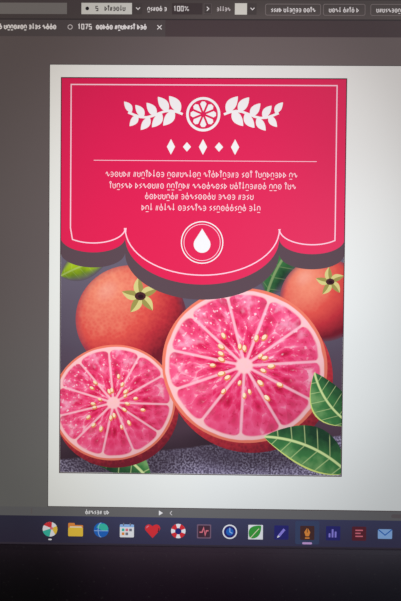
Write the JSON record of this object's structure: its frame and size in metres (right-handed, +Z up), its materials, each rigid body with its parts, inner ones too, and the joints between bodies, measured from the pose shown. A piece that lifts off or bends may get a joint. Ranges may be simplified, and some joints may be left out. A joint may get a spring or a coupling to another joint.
{
  "type": "computer monitor",
  "caption": "Flat desktop computer monitor with a wide lower bezel, on a neck and foot that let the screen tilt, with press keys under the chin.",
  "frame": {"origin": "on the desk, under the middle of the foot", "axes": "+Z up, the screen faces -Y, +X to the viewer's right"},
  "size_m": [0.553, 0.2, 0.4215],
  "materials": {
    "bezel_plastic": "fine spark-eroded black plastic",
    "shell_plastic": "coarser textured black plastic",
    "screen": "lit display behind an anti-glare film",
    "stand_plastic": "satin black plastic",
    "hinge_steel": "plated pressed steel",
    "foot_rubber": "matt rubber",
    "key_plastic": "satin plastic",
    "light_lens": "clear lens, lit white",
    "socket_plastic": "black connector plastic"
  },
  "bodies": {
    "stand": {"base_plate": "stand_plastic", "base_screw": "hinge_steel", "foot_pad_front_left": "foot_rubber", "foot_pad_front_middle": "foot_rubber", "foot_pad_front_right": "foot_rubber", "foot_pad_back_left": "foot_rubber", "foot_pad_back_middle": "foot_rubber", "foot_pad_back_right": "foot_rubber", "neck": "stand_plastic", "neck_cover": "shell_plastic", "neck_collar": "stand_plastic"},
    "display": {"front_bezel": "bezel_plastic", "lcd_panel": "screen", "back_shell": "shell_plastic", "rear_housing": "shell_plastic", "hinge_yoke": "hinge_steel", "hinge_pin": "hinge_steel", "audio_jack": "socket_plastic", "video_socket_wide": "socket_plastic", "video_socket_slim": "socket_plastic", "power_jack": "socket_plastic", "power_light": "light_lens"},
    "menu_key_1": {"menu_key_1": "key_plastic"},
    "menu_key_2": {"menu_key_2": "key_plastic"},
    "menu_key_3": {"menu_key_3": "key_plastic"},
    "menu_key_4": {"menu_key_4": "key_plastic"},
    "power_key": {"power_key": "key_plastic"}
  },
  "joints": [
    {"name": "tilt", "type": "hinge", "parent": "stand", "child": "display", "pos_m": [0, 0.038, 0.19], "axis": [-1, 0, 0], "range_deg": [-5, 20]},
    {"name": "menu_press_1", "type": "slide", "parent": "display", "child": "menu_key_1", "axis": [0, 0, 1], "range_m": [0, 0.0006], "stiffness_N_per_m": 800, "springref_m": -0.0005},
    {"name": "menu_press_2", "type": "slide", "parent": "display", "child": "menu_key_2", "axis": [0, 0, 1], "range_m": [0, 0.0006], "stiffness_N_per_m": 800, "springref_m": -0.0005},
    {"name": "menu_press_3", "type": "slide", "parent": "display", "child": "menu_key_3", "axis": [0, 0, 1], "range_m": [0, 0.0006], "stiffness_N_per_m": 800, "springref_m": -0.0005},
    {"name": "menu_press_4", "type": "slide", "parent": "display", "child": "menu_key_4", "axis": [0, 0, 1], "range_m": [0, 0.0006], "stiffness_N_per_m": 800, "springref_m": -0.0005},
    {"name": "power_press", "type": "slide", "parent": "display", "child": "power_key", "axis": [0, 0, 1], "range_m": [0, 0.0006], "stiffness_N_per_m": 800, "springref_m": -0.0005}
  ]
}
